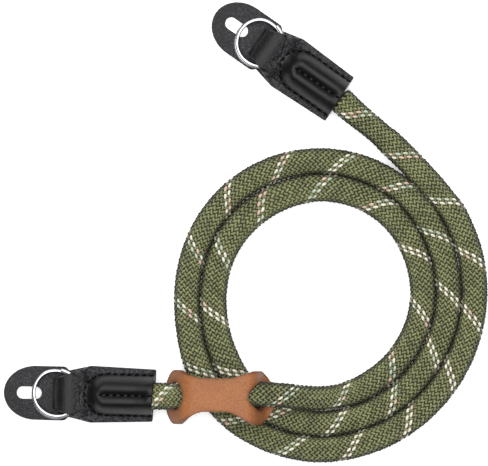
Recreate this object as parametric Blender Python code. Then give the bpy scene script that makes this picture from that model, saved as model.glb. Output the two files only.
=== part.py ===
"""A rope camera strap, lying coiled on a flat surface.

One braided rope lies in two full turns and part of a third. Its inner end is led out over the
turns, through a leather keeper, to the left end of the strap; its outer end is led off to the
right end. Each end is a leather sleeve with a slotted tab and a split ring. Metres, +Z up.
"""

from math import atan2, cos, exp, pi, radians, sin, sqrt

import bmesh
import bpy
from mathutils import Matrix, Vector

MM = 0.001

# Running gap between pieces that touch on the real strap
GAP = 0.3 * MM

# Rope, and the coil that it lies in
ROPE_DIAMETER = 10.4 * MM
ROPE_RADIUS = ROPE_DIAMETER / 2
COIL_CENTRE = Vector((57.8, -33.8, 0)) * MM
COIL_INNER_RADIUS = 43.1 * MM
COIL_PITCH = ROPE_DIAMETER + GAP
COIL_FIRST_DEGREES = 30
COIL_LAST_DEGREES = 840
COIL_STEP_DEGREES = 15

# How the rope steps outwards as it winds: degrees wound anticlockwise from the bottom of the
# coil, and distance out from the innermost turn in pitches
COIL_STEPS = (
    (0, 0.00), (60, -0.02), (90, 0.03), (110, 0.04), (135, 0.12), (180, 0.10), (200, 0.04),
    (250, 0.02), (270, 0.05), (290, 0.18), (310, 0.46), (325, 0.72), (340, 0.88), (350, 0.955),
    (360, 1.00), (420, 0.98), (450, 1.03), (470, 1.04), (495, 1.13), (540, 1.13), (585, 1.09),
    (610, 1.05), (630, 1.07), (650, 1.22), (664, 1.46), (676, 1.67), (690, 1.83), (700, 1.90),
    (710, 1.96), (720, 2.00), (780, 1.98), (840, 2.08),
)

# The rope outside its flat turns, as points chosen by hand, in millimetres
ROUTE_OVER_TURNS = (
    (-4.7, -76.2, 12.2), (0.3, -76.0, 13.1), (4.5, -75.8, 14.5), (8.6, -75.6, 15.7),
    (12.8, -75.4, 16.4), (20.2, -75.2, 16.8), (27.3, -75.1, 17.35), (34.4, -75.1, 18.05),
    (39.8, -75.3, 18.05), (46, -75.9, 16.5), (53, -76.7, 13.4), (60.1, -77.0, 9.8),
    (67.1, -76.0, 6.7), (73.8, -73.9, 5.3),
)
ROUTE_LEAVING = (
    (106.1, 9.6, 5.2), (97.4, 19.2, 5.2), (89.2, 27.4, 5.5), (80.8, 34.9, 6.2), (73, 41.2, 6.9),
)
ROUTE_SPACING = 8 * MM

# One end of the strap, lengths counted from the tip of its tab
END_LENGTH = 62.8 * MM
TAB_THICKNESS = 1.8 * MM
TAB_WIDTH = 22.4 * MM
TAB_SHOULDER = 25.0 * MM
WAIST_WIDTH = 19.4 * MM
WAIST_AT = TAB_SHOULDER + 2.2 * MM
SLEEVE_WIDTH = 23.6 * MM
MOUTH_WIDTH = 21.7 * MM
SLOT_LENGTH = 10.5 * MM
SLOT_WIDTH = 5.1 * MM
SLOT_START = 5.3 * MM

# Split ring: two turns of flat wire, threaded through the loop
RING_DIAMETER = 20.6 * MM
RING_WIRE_WIDTH = 1.3 * MM
RING_WIRE_HEIGHT = 0.85 * MM
RING_TURN_GAP = 0.08 * MM
RING_SEGMENTS_PER_TURN = 40
RING_FIRST_DEGREES = 30
RING_LAST_DEGREES = 690
RING_STEP_DEGREES = (335, 385)

# Front leather: the neck that is folded back as the ring's loop, and the sewn cover behind it
COVER_THICKNESS = 1.4 * MM
FOLD_AT = 20.8 * MM
FOLD_WIDTH = 12.7 * MM
RING_CENTRE_AT = FOLD_AT + 1.4 * MM
RING_TILT_ROOM = 0.8 * MM
LOOP_HEIGHT = 2 * RING_WIRE_HEIGHT + RING_TURN_GAP + 2 * GAP + RING_TILT_ROOM
LOOP_CREST_END = RING_CENTRE_AT + RING_DIAMETER / 2 + 0.5 * MM
LOOP_TAIL_END = LOOP_CREST_END + 0.4 * MM
RING_ENTRY_AT = FOLD_AT + 0.43 * (LOOP_TAIL_END - FOLD_AT)
SLEEVE_START = LOOP_CREST_END + 3.2 * MM
NOSE_START = SLEEVE_START + 0.6 * MM
NOSE_LENGTH = 4.6 * MM

# Flattened end of the rope in the sleeve
ROPE_END_INSET = 1.5 * MM
ROPE_END_STOP = NOSE_START + NOSE_LENGTH + 0.8 * MM
ROPE_END_HALF_WIDTH = 6.2 * MM
ROPE_END_HEIGHT = 7.8 * MM
VALLEY_SHARE = 0.26
VALLEY_HALF_WIDTH = 1.7 * MM

# Keeper
KEEPER_THICKNESS = 1.8 * MM
KEEPER_LOBE_WIDTH = 22.4 * MM
KEEPER_WAIST_WIDTH = 13.9 * MM
KEEPER_WAIST_SHIFT = 0.9 * MM
KEEPER_HOLE_LENGTH = 14.2 * MM
KEEPER_HOLE_WIDTH = ROPE_DIAMETER + 2.2 * MM
KEEPER_RIM = 4.2 * MM
KEEPER_HOLE_SHIFT = 1.0 * MM
KEEPER_CENTRE_X = 16.9 * MM
KEEPER_CENTRE_Y = -76.6 * MM
KEEPER_HEADING = radians(-0.6)

KEEPER_SPAN = 44.7 * MM
KEEPER_HEIGHT = 2 * ROPE_DIAMETER + KEEPER_THICKNESS / 2 + 2.5 * MM

# Run of the keeper's mid-surface from its left lip over the rope to its right one: distance from
# its centre as a share of its span, and height above the floor as a share of its height
KEEPER_PROFILE = (
    (-0.501, 0.107), (-0.459, 0.277), (-0.405, 0.550), (-0.349, 0.810), (-0.291, 0.921),
    (-0.186, 0.950), (-0.022, 0.963), (0.157, 0.988), (0.251, 1.0), (0.300, 0.917),
    (0.340, 0.727), (0.376, 0.554), (0.425, 0.479), (0.499, 0.475),
)

# Where the two ends lie: the mouth that the rope comes out of, the heading from tab to mouth and
# the slope from the tab's tip, which lies on the floor, up to the mouth
LEFT_MOUTH_X = -10.17 * MM
LEFT_MOUTH_Y = -76.02 * MM
LEFT_HEADING = radians(-1.3)
LEFT_RISE = radians(4.0)
RIGHT_MOUTH_X = 66.64 * MM
RIGHT_MOUTH_Y = 47.08 * MM
RIGHT_HEADING = radians(-35.0)
RIGHT_RISE = 0.0


def clear_scene():
    for thing in list(bpy.data.objects):
        bpy.data.objects.remove(thing, do_unlink=True)


def make_material(name, colour, roughness, metallic=0.0):
    material = bpy.data.materials.new(name)
    material.use_nodes = True
    shader = material.node_tree.nodes["Principled BSDF"]
    shader.inputs["Base Color"].default_value = (*colour, 1.0)
    shader.inputs["Roughness"].default_value = roughness
    shader.inputs["Metallic"].default_value = metallic
    return material


def smooth_value(table, x):
    """Value of a two-column table at x, on a smooth curve through its rows."""
    rows = [row[0] for row in table]
    i = max(0, min(len(table) - 2, sum(1 for r in rows if r <= x) - 1))
    x0, y0 = table[i]
    x1, y1 = table[i + 1]

    def slope(j):
        a, b = table[max(j - 1, 0)], table[min(j + 1, len(table) - 1)]
        return (b[1] - a[1]) / (b[0] - a[0])

    u, h = (x - x0) / (x1 - x0), x1 - x0
    m0, m1 = slope(i) * h, slope(i + 1) * h
    return (
        (2 * u**3 - 3 * u**2 + 1) * y0 + (u**3 - 2 * u**2 + u) * m0
        + (3 * u**2 - 2 * u**3) * y1 + (u**3 - u**2) * m1
    )


def smooth_step(edge0, edge1, x):
    u = max(0.0, min(1.0, (x - edge0) / (edge1 - edge0)))
    return u * u * (3 - 2 * u)


def curve_through(points, spacing):
    """Points about one spacing apart on a smooth curve through the given points."""
    chain = [2 * points[0] - points[1], *points, 2 * points[-1] - points[-2]]
    dense = []
    for a, b, c, d in zip(chain, chain[1:], chain[2:], chain[3:]):
        for k in range(24):
            u = k / 24
            dense.append(0.5 * (
                2 * b + (c - a) * u + (2 * a - 5 * b + 4 * c - d) * u**2
                + (3 * b - a - 3 * c + d) * u**3
            ))
    dense.append(points[-1])
    along = [0.0]
    for a, b in zip(dense, dense[1:]):
        along.append(along[-1] + (b - a).length)
    count = max(2, round(along[-1] / spacing) + 1)
    result, k = [], 0
    for n in range(count):
        target = along[-1] * n / (count - 1)
        while k < len(dense) - 2 and along[k + 1] < target:
            k += 1
        u = (target - along[k]) / (along[k + 1] - along[k])
        result.append(dense[k].lerp(dense[k + 1], u))
    return result


def end_matrix(mouth_x, mouth_y, heading, rise):
    """Place of a strap end: x runs from the tab's tip to the mouth, z up from the floor."""
    reach = END_LENGTH * cos(rise)
    tip = Vector((mouth_x - reach * cos(heading), mouth_y - reach * sin(heading), 0))
    turn = Matrix.Rotation(heading, 4, "Z") @ Matrix.Rotation(-rise, 4, "Y")
    return Matrix.Translation(tip) @ turn


def mouth_point(place, inset):
    return place @ Vector((END_LENGTH - inset, 0, TAB_THICKNESS + GAP + ROPE_RADIUS))


def coil_point(degrees):
    radius = COIL_INNER_RADIUS + COIL_PITCH * smooth_value(COIL_STEPS, degrees)
    angle = radians(degrees - 90)
    return COIL_CENTRE + Vector((radius * cos(angle), radius * sin(angle), ROPE_RADIUS))


def rope_route(left_place, right_place):
    over = [Vector(p) * MM for p in ROUTE_OVER_TURNS]
    leaving = [Vector(p) * MM for p in ROUTE_LEAVING]
    last = COIL_LAST_DEGREES
    turns = [coil_point(d) for d in range(COIL_FIRST_DEGREES, last + 1, COIL_STEP_DEGREES)]
    start, finish = mouth_point(left_place, 0), mouth_point(right_place, 0)
    return [
        mouth_point(left_place, ROPE_END_INSET),
        *curve_through([start, *over, turns[0]], ROUTE_SPACING), *turns[1:-1],
        *curve_through([turns[-1], *leaving, finish], ROUTE_SPACING),
        mouth_point(right_place, ROPE_END_INSET),
    ]


def make_rope(points, material):
    curve = bpy.data.curves.new("rope", "CURVE")
    curve.dimensions = "3D"
    curve.bevel_depth = ROPE_RADIUS
    curve.bevel_resolution = 4
    curve.use_fill_caps = True
    curve.render_resolution_u = 0
    spline = curve.splines.new("POLY")
    spline.points.add(len(points) - 1)
    for slot, point in zip(spline.points, points):
        slot.co = (*point, 1.0)
    curve.materials.append(material)
    rope = bpy.data.objects.new("rope", curve)
    bpy.context.collection.objects.link(rope)
    return rope


def mesh_object(name, bm, material, parent=None):
    bmesh.ops.recalc_face_normals(bm, faces=bm.faces[:])
    mesh = bpy.data.meshes.new(name)
    bm.to_mesh(mesh)
    bm.free()
    mesh.materials.append(material)
    mesh.shade_smooth()
    mesh.set_sharp_from_angle(angle=radians(40))
    thing = bpy.data.objects.new(name, mesh)
    bpy.context.collection.objects.link(thing)
    thing.parent = parent
    return thing


def loft(rings):
    """A closed skin over rings of points, with flat ends."""
    bm = bmesh.new()
    rows = [[bm.verts.new(p) for p in ring] for ring in rings]
    for a, b in zip(rows, rows[1:]):
        for i in range(len(a)):
            j = (i + 1) % len(a)
            bm.faces.new((a[i], a[j], b[j], b[i]))
    bm.faces.new(rows[0][::-1])
    bm.faces.new(rows[-1])
    return bm


def thick_sheet(rows, thickness):
    """A sheet of even thickness about a grid of mid-surface points."""
    n, m = len(rows), len(rows[0])
    bm = bmesh.new()
    sides = []
    for sign in (0.5, -0.5):
        grid = []
        for i in range(n):
            line = []
            for j in range(m):
                along = rows[min(i + 1, n - 1)][j] - rows[max(i - 1, 0)][j]
                across = rows[i][min(j + 1, m - 1)] - rows[i][max(j - 1, 0)]
                normal = along.cross(across).normalized()
                line.append(bm.verts.new(rows[i][j] + sign * thickness * normal))
            grid.append(line)
        sides.append(grid)
    top, under = sides
    for i in range(n - 1):
        for j in range(m - 1):
            bm.faces.new((top[i][j], top[i + 1][j], top[i + 1][j + 1], top[i][j + 1]))
            bm.faces.new((under[i][j], under[i][j + 1], under[i + 1][j + 1], under[i + 1][j]))
    rim = (
        [(0, j) for j in range(m)] + [(i, m - 1) for i in range(1, n)]
        + [(n - 1, j) for j in range(m - 2, -1, -1)] + [(i, 0) for i in range(n - 2, 0, -1)]
    )
    for (i, j), (k, l) in zip(rim, rim[1:] + rim[:1]):
        bm.faces.new((top[i][j], top[k][l], under[k][l], under[i][j]))
    return bm


def prism(outline, low, high):
    """A straight solid on a closed outline."""
    bm = bmesh.new()
    base = [bm.verts.new((x, y, low)) for x, y in outline]
    cap = [bm.verts.new((x, y, high)) for x, y in outline]
    bm.faces.new(base[::-1])
    bm.faces.new(cap)
    for i in range(len(outline)):
        j = (i + 1) % len(outline)
        bm.faces.new((base[i], base[j], cap[j], cap[i]))
    return bm


def cut_with(thing, cutter):
    cutter.hide_render = True
    cutter.display_type = "WIRE"
    cutter.parent = thing.parent
    cut = thing.modifiers.new("cut", "BOOLEAN")
    cut.operation = "DIFFERENCE"
    cut.solver = "EXACT"
    cut.object = cutter


def stadium(start, length, width, segments=8):
    """Outline of a slot with round ends, its long axis on x."""
    r = width / 2
    points = []
    for centre, first in ((start + length - r, -pi / 2), (start + r, pi / 2)):
        for k in range(segments + 1):
            a = first + pi * k / segments
            points.append((centre + r * cos(a), r * sin(a)))
    return points


def tab_outline():
    """Half outline of the back leather, from its tip to the mouth."""
    r = TAB_WIDTH / 2
    half = [(r - r * cos(radians(a)), r * sin(radians(a))) for a in range(6, 91, 12)]
    half += [
        (TAB_SHOULDER, r),
        (TAB_SHOULDER + 0.35 * (WAIST_AT - TAB_SHOULDER), r - 0.12 * (TAB_WIDTH - WAIST_WIDTH)),
        (WAIST_AT, WAIST_WIDTH / 2),
        (SLEEVE_START, SLEEVE_WIDTH / 2),
        (END_LENGTH - 0.4 * MM, MOUTH_WIDTH / 2),
        (END_LENGTH, MOUTH_WIDTH / 2 - 0.4 * MM),
    ]
    return half + [(x, -y) for x, y in reversed(half)]


def make_tab(name, material, parent):
    tab = mesh_object(name, prism(tab_outline(), 0, TAB_THICKNESS), material, parent)
    slot = stadium(SLOT_START, SLOT_LENGTH, SLOT_WIDTH)
    blank = prism(slot, -TAB_THICKNESS, 2 * TAB_THICKNESS)
    cut_with(tab, mesh_object(name + "_slot_cutter", blank, material))
    return tab


def rope_section(x):
    """Half width, height and valley share of the rope inside the sleeve, x from the tip."""
    mouth = END_LENGTH - ROPE_END_INSET
    flat = smooth_step(0, 9 * MM, mouth - x)
    half_width = ROPE_RADIUS + (ROPE_END_HALF_WIDTH - ROPE_RADIUS) * flat
    height = ROPE_DIAMETER + (ROPE_END_HEIGHT - ROPE_DIAMETER) * flat
    return half_width, height, VALLEY_SHARE * flat


def lobed(angle, half_width, height, valley, grow):
    """Point of a section with two lobes on top, all round or grown outwards by a distance."""
    c, s = cos(angle), sin(angle)
    y = (half_width + grow) * c
    dip = 1 - valley * exp(-((y / VALLEY_HALF_WIDTH) ** 2)) if s > 0 else 1
    centre = height / 2
    z = centre + ((height / 2 * dip + grow) if s > 0 else height / 2) * s
    return y, z


def make_rope_end(name, material, parent):
    floor = TAB_THICKNESS + GAP
    length = END_LENGTH - ROPE_END_INSET - GAP - ROPE_END_STOP
    rings = []
    for share in (0, 0.12, 0.25, 0.4, 0.6, 0.8, 0.93, 1):
        x = END_LENGTH - ROPE_END_INSET - GAP - share * length
        half_width, height, valley = rope_section(x)
        shrink = 1 if share < 0.93 else (0.93 if share < 1 else 0.75)
        ring = []
        for k in range(24):
            y, z = lobed(2 * pi * k / 24, half_width * shrink, height * shrink, valley, 0)
            ring.append(Vector((x, y, floor + z)))
        rings.append(ring)
    return mesh_object(name, loft(rings), material, parent)


def neck_half_width(x):
    widths = ((FOLD_AT, FOLD_WIDTH / 2), (WAIST_AT, 0.36 * SLEEVE_WIDTH))
    return smooth_value((*widths, (SLEEVE_START, SLEEVE_WIDTH / 2)), x)


def cover_row(x, rise):
    """Mid-surface points across the sewn cover at x; rise is 0 before the rope and 1 over it."""
    level = TAB_THICKNESS + GAP + COVER_THICKNESS / 2
    grow = GAP + COVER_THICKNESS / 2
    share = (x - SLEEVE_START) / (END_LENGTH - SLEEVE_START)
    edge = (SLEEVE_WIDTH + (MOUTH_WIDTH - SLEEVE_WIDTH) * share) / 2
    half_width, height, valley = rope_section(x)
    floor = TAB_THICKNESS + GAP
    side = half_width + grow
    half = [(edge, level), ((edge + side) / 2 + 0.8 * MM, level), (side + 1.3 * MM, level),
            (side + 0.35 * MM, level + 0.7 * MM)]
    for k in range(9):
        y, z = lobed(pi / 2 * k / 8, half_width, height, valley, grow)
        half.append((y, floor + z))
    flat = [edge * (1 - k / (len(half) - 1)) for k in range(len(half))]
    half = [
        (f + (y - f) * min(1, 3 * rise), level + (z - level) * rise)
        for f, (y, z) in zip(flat, half)
    ]
    whole = half + [(-y, z) for y, z in reversed(half[:-1])]
    return [Vector((x, y, z)) for y, z in whole]


def neck_row(x, z, columns):
    half_width = neck_half_width(min(x, SLEEVE_START))
    return [Vector((x, half_width * (1 - 2 * k / (columns - 1)), z)) for k in range(columns)]


def make_cover(name, material, parent):
    low = TAB_THICKNESS + GAP + COVER_THICKNESS / 2
    fold_radius = (LOOP_HEIGHT + COVER_THICKNESS) / 2
    high = low + 2 * fold_radius
    body_start = NOSE_START + NOSE_LENGTH
    rows = [cover_row(body_start + (END_LENGTH - body_start) * k / 9, 1) for k in range(9, -1, -1)]
    for along, rise in ((0.7, 0.88), (0.45, 0.58), (0.22, 0.14), (0, 0)):
        rows.append(cover_row(NOSE_START + NOSE_LENGTH * along, rise))
    columns = len(rows[0])
    for share in (0.1, 0.4, 0.75, 1):
        x = NOSE_START + (LOOP_CREST_END - NOSE_START) * share
        height = low + (high - low) * smooth_step(NOSE_START, LOOP_CREST_END, x)
        rows.append(neck_row(x, height, columns))
    bend = FOLD_AT + COVER_THICKNESS / 2 + fold_radius
    flat = [bend + (LOOP_CREST_END - bend) * share for share in (0.37, 0.7)]
    rows += [neck_row(x, high, columns) for x in reversed(flat)]
    for k in range(7):
        a = pi / 2 + pi * k / 6
        height = low + fold_radius * (1 + sin(a))
        rows.append(neck_row(bend + fold_radius * cos(a), height, columns))
    rows += [neck_row(x, low, columns) for x in (*flat, LOOP_TAIL_END)]
    return mesh_object(name, thick_sheet(rows, COVER_THICKNESS), material, parent)


def make_ring(name, material, parent):
    """Two turns of flat wire, one above the other, with a short step between them."""
    mean = (RING_DIAMETER - RING_WIRE_WIDTH) / 2
    pitch = RING_WIRE_HEIGHT + RING_TURN_GAP
    w, h = RING_WIRE_WIDTH / 2, RING_WIRE_HEIGHT / 2
    corner = 0.35
    section = [
        (w, -h * corner), (w, h * corner), (w * (1 - corner), h), (-w * (1 - corner), h),
        (-w, h * corner), (-w, -h * corner), (-w * (1 - corner), -h), (w * (1 - corner), -h),
    ]
    step = 360 / RING_SEGMENTS_PER_TURN
    rings = []
    for k in range(int((RING_LAST_DEGREES - RING_FIRST_DEGREES) / step) + 1):
        degrees = RING_FIRST_DEGREES + k * step
        z = h + pitch * smooth_step(*RING_STEP_DEGREES, degrees)
        a = radians(degrees + 110)
        rings.append([
            Vector(((mean + r) * cos(a), (mean + r) * sin(a), z + dz)) for r, dz in section
        ])
    ring = mesh_object(name, loft(rings), material, parent)
    left_edge = RING_CENTRE_AT - RING_DIAMETER / 2
    tilt = atan2(COVER_THICKNESS + GAP, RING_ENTRY_AT - left_edge)
    lift = TAB_THICKNESS + GAP + sin(tilt) * RING_DIAMETER / 2
    place = Matrix.Translation((RING_CENTRE_AT, 0, lift))
    ring.matrix_local = place @ Matrix.Rotation(-tilt, 4, "Y")
    return ring


def keeper_width(s, length):
    """Half width and sideways shift of the blank at s: round lobes that ease into the waist."""
    r = KEEPER_LOBE_WIDTH / 2
    d = min(s, length - s)
    waist = smooth_step(1.2 * r, 2.5 * r, d)
    lobe = sqrt(r * r - (r - min(d, r)) ** 2)
    return lobe + (KEEPER_WAIST_WIDTH / 2 - lobe) * waist, KEEPER_WAIST_SHIFT * waist


def make_keeper(material):
    """A flat blank with two holes, bent over the rope."""
    run = [Vector((x * KEEPER_SPAN, 0, z * KEEPER_HEIGHT)) for x, z in KEEPER_PROFILE]
    profile = curve_through(run, 0.4 * MM)
    along = [0.0]
    for a, b in zip(profile, profile[1:]):
        along.append(along[-1] + (b - a).length)
    length = along[-1]
    count = 44
    bm = bmesh.new()
    stations = [0.3 * MM + (length - 0.6 * MM) * k / count for k in range(count + 1)]
    edges = []
    for s in stations:
        half_width, shift = keeper_width(s, length)
        edges.append([(s, shift - half_width), (s, shift + half_width)])
    layers = []
    for z in (-KEEPER_THICKNESS / 2, KEEPER_THICKNESS / 2):
        layers.append([[bm.verts.new((*corner, z)) for corner in pair] for pair in edges])
    under, top = layers
    for k in range(count):
        bm.faces.new((under[k][0], under[k][1], under[k + 1][1], under[k + 1][0]))
        bm.faces.new((top[k][0], top[k + 1][0], top[k + 1][1], top[k][1]))
        for side in (0, 1):
            bm.faces.new((under[k][side], under[k + 1][side], top[k + 1][side], top[k][side]))
    for k in (0, count):
        bm.faces.new((under[k][0], under[k][1], top[k][1], top[k][0]))
    blank = mesh_object("keeper_blank", bm, material)
    for number, start in enumerate((KEEPER_RIM, length - KEEPER_RIM - KEEPER_HOLE_LENGTH)):
        outline = []
        for k in range(28):
            a = 2 * pi * k / 28
            outline.append((
                start + KEEPER_HOLE_LENGTH / 2 * (1 + cos(a)),
                KEEPER_HOLE_SHIFT + KEEPER_HOLE_WIDTH / 2 * sin(a),
            ))
        cutter_blank = prism(outline, -2 * KEEPER_THICKNESS, 2 * KEEPER_THICKNESS)
        cutter = mesh_object(f"keeper_hole_cutter_{number}", cutter_blank, material)
        cut_with(blank, cutter)
    bpy.context.view_layer.update()
    flat = bpy.data.meshes.new_from_object(blank.evaluated_get(bpy.context.evaluated_depsgraph_get()))
    for thing in [blank, *(m.object for m in blank.modifiers)]:
        bpy.data.objects.remove(thing, do_unlink=True)
    bm = bmesh.new()
    bm.from_mesh(flat)
    bmesh.ops.triangulate(bm, faces=bm.faces[:])
    for vertex in bm.verts:
        s, t, n = vertex.co
        k = max(0, min(len(profile) - 2, sum(1 for a in along if a <= s) - 1))
        u = (s - along[k]) / (along[k + 1] - along[k])
        before, after = profile[max(k - 1, 0)], profile[min(k + 2, len(profile) - 1)]
        tangent = (profile[k + 1] - before).lerp(after - profile[k], u).normalized()
        place = profile[k].lerp(profile[k + 1], u)
        vertex.co = place + Vector((-tangent.z, 0, tangent.x)) * n + Vector((0, t, 0))
    keeper = mesh_object("keeper", bm, material)
    centre = Matrix.Translation((KEEPER_CENTRE_X, KEEPER_CENTRE_Y, 0))
    keeper.matrix_world = centre @ Matrix.Rotation(KEEPER_HEADING, 4, "Z")
    return keeper


def make_end(side, place, black, steel, green):
    empty = bpy.data.objects.new(side + "_end", None)
    bpy.context.collection.objects.link(empty)
    empty.matrix_world = place
    make_tab(side + "_tab_leather", black, empty)
    make_cover(side + "_cover_leather", black, empty)
    make_rope_end(side + "_rope_end", green, empty)
    make_ring(side + "_split_ring", steel, empty)


def main():
    clear_scene()
    green = make_material("rope_green", (0.13, 0.15, 0.06), 0.85)
    black = make_material("leather_black", (0.02, 0.02, 0.022), 0.5)
    tan = make_material("leather_tan", (0.45, 0.18, 0.07), 0.55)
    steel = make_material("ring_steel", (0.75, 0.75, 0.76), 0.2, 1.0)
    left = end_matrix(LEFT_MOUTH_X, LEFT_MOUTH_Y, LEFT_HEADING, LEFT_RISE)
    right = end_matrix(RIGHT_MOUTH_X, RIGHT_MOUTH_Y, RIGHT_HEADING, RIGHT_RISE)
    make_rope(rope_route(left, right), green)
    make_end("left", left, black, steel, green)
    make_end("right", right, black, steel, green)
    make_keeper(tan)


main()
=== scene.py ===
from functools import partial
from math import atan2, cos, degrees, exp, pi, radians, sin, sqrt

import bmesh
import bpy
from mathutils import Matrix, Vector
from mathutils.bvhtree import BVHTree


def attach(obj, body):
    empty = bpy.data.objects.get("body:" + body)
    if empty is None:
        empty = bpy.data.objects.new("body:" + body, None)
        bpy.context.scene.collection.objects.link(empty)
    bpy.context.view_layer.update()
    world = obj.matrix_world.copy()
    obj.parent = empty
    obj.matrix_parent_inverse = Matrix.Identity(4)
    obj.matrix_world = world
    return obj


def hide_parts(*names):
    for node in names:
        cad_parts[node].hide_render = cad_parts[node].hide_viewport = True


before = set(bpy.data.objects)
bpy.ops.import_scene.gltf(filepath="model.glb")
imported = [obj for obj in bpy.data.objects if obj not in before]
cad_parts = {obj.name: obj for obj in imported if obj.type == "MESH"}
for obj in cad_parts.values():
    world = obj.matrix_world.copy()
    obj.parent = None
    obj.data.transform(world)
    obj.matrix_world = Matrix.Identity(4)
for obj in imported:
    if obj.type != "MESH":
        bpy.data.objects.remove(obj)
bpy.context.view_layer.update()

# A rope camera strap lying coiled on a white table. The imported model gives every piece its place,
# and each node is stood for here by a finely made piece of the same size.
mm = 0.001


# Small helpers
def linearColour(hexCode, alpha=1.0):
    values = [int(hexCode[i:i + 2], 16) / 255 for i in (1, 3, 5)]
    return (*[v / 12.92 if v <= 0.04045 else ((v + 0.055) / 1.055) ** 2.4 for v in values], alpha)


def feed(item, inputs):
    # gives each input, in order or by name, a value, a socket or a node to take it from
    named = inputs if isinstance(inputs, dict) else dict(enumerate(inputs))
    for key, value in named.items():
        if isinstance(value, bpy.types.Node):
            value = value.outputs[0]
        if isinstance(value, bpy.types.NodeSocket):
            item.id_data.links.new(value, item.inputs[key])
        else:
            item.inputs[key].default_value = value


def addNode(tree, kind, inputs=(), **settings):
    # one node, with its settings and what feeds its inputs
    item = tree.nodes.new(kind)
    for name, value in settings.items():
        setattr(item, name, value)
    feed(item, inputs)
    return item


def newMaterial(name):
    # a material, the call that adds nodes to it, and its shader
    material = bpy.data.materials.new(name)
    material.use_nodes = True
    tree = material.node_tree
    return material, partial(addNode, tree), tree.nodes["Principled BSDF"]


def setRamp(ramp, stops):
    # colour stops of a ramp node: position and the name of a colour
    elements = ramp.color_ramp.elements
    while len(elements) < len(stops):
        elements.new(0.5)
    for element, (position, colour) in zip(elements, stops):
        element.position = position
        element.color = linearColour(finish[colour])


def smoothStep(low, high, x):
    u = max(0.0, min(1.0, (x - low) / (high - low)))
    return u * u * (3 - 2 * u)


def smoothValue(table, x):
    # value of a two-column table at x, on a smooth curve through its rows
    i = max(0, min(len(table) - 2, sum(1 for row in table if row[0] <= x) - 1))
    (x0, y0), (x1, y1) = table[i], table[i + 1]

    def slope(j):
        a, b = table[max(j - 1, 0)], table[min(j + 1, len(table) - 1)]
        return (b[1] - a[1]) / (b[0] - a[0]) * (x1 - x0)

    u = (x - x0) / (x1 - x0)
    return (
        (2 * u**3 - 3 * u**2 + 1) * y0 + (u**3 - 2 * u**2 + u) * slope(i)
        + (3 * u**2 - 2 * u**3) * y1 + (u**3 - u**2) * slope(i + 1)
    )


def curveThrough(points, spacing):
    # evenly spaced points on a smooth curve through the given ones
    chain = [2 * points[0] - points[1], *points, 2 * points[-1] - points[-2]]
    dense = []
    for a, b, c, d in zip(chain, chain[1:], chain[2:], chain[3:]):
        for k in range(24):
            u = k / 24
            dense.append(0.5 * (
                2 * b + (c - a) * u + (2 * a - 5 * b + 4 * c - d) * u**2
                + (3 * b - a - 3 * c + d) * u**3
            ))
    dense.append(points[-1])
    along = lengthsAlong(dense)
    count, result, k = max(2, round(along[-1] / spacing) + 1), [], 0
    for n in range(count):
        target = along[-1] * n / (count - 1)
        while k < len(dense) - 2 and along[k + 1] < target:
            k += 1
        result.append(dense[k].lerp(dense[k + 1], (target - along[k]) / (along[k + 1] - along[k])))
    return result


def lengthsAlong(points):
    # how far along a line of points each of them lies
    along = [0.0]
    for a, b in zip(points, points[1:]):
        along.append(along[-1] + (b - a).length)
    return along


def linkObject(name, data):
    thing = bpy.data.objects.new(name, data)
    bpy.context.collection.objects.link(thing)
    return thing


def meshPiece(name, bm, material, place=None, sharp=None):
    # a finished mesh with its place in its vertices and its faces pointing out
    bmesh.ops.recalc_face_normals(bm, faces=bm.faces[:])
    if place is not None:
        bm.transform(place)
    mesh = bpy.data.meshes.new(name)
    bm.to_mesh(mesh)
    bm.free()
    mesh.materials.append(material)
    mesh.shade_smooth()
    if sharp:
        mesh.set_sharp_from_angle(angle=radians(sharp))
    return linkObject(name, mesh)


def closeTube(bm, rings):
    # joins rings of vertices into a tube and caps its ends
    for a, b in zip(rings, rings[1:]):
        for k in range(len(a)):
            n = (k + 1) % len(a)
            bm.faces.new((a[k], a[n], b[n], b[k]))
    bm.faces.new(rings[0])
    bm.faces.new(rings[-1])


def evaluated(thing):
    # the mesh that an object's curves and modifiers make; the object itself goes
    mesh = bpy.data.meshes.new_from_object(
        thing.evaluated_get(bpy.context.evaluated_depsgraph_get()))
    bpy.data.objects.remove(thing, do_unlink=True)
    return mesh


def finished(piece, slotName, *nodes):
    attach(piece, "root")
    if nodes:
        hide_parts(*nodes)
    return piece


def newTree(name, inputs):
    # a Geometry Nodes tree with named inputs, and the call that adds nodes to it
    tree = bpy.data.node_groups.new(name, "GeometryNodeTree")
    tree.interface.new_socket("Geometry", in_out="INPUT", socket_type="NodeSocketGeometry")
    tree.interface.new_socket("Geometry", in_out="OUTPUT", socket_type="NodeSocketGeometry")
    for label, kind in inputs:
        tree.interface.new_socket(label, in_out="INPUT", socket_type="NodeSocket" + kind)
    add = partial(addNode, tree)
    return tree, add, add("NodeGroupInput").outputs, add("NodeGroupOutput")


def growOn(name, points, tree, values, squash=None):
    # runs a tree on a line of points and keeps what it makes as a plain mesh
    line = bpy.data.meshes.new(name + "Line")
    line.from_pydata(points, [(k, k + 1) for k in range(len(points) - 1)], [])
    if squash:
        flat = [value for row in squash for value in row]
        line.attributes.new("squash", "FLOAT_VECTOR", "POINT").data.foreach_set("vector", flat)
    host = linkObject(name + "Line", line)
    growth = host.modifiers.new("growth", "NODES")
    growth.node_group = tree
    for item in tree.interface.items_tree:
        if item.in_out == "INPUT" and item.name in values:
            growth[item.identifier] = values[item.name]
    mesh = evaluated(host)
    mesh.name = name
    return linkObject(name, mesh)


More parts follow.
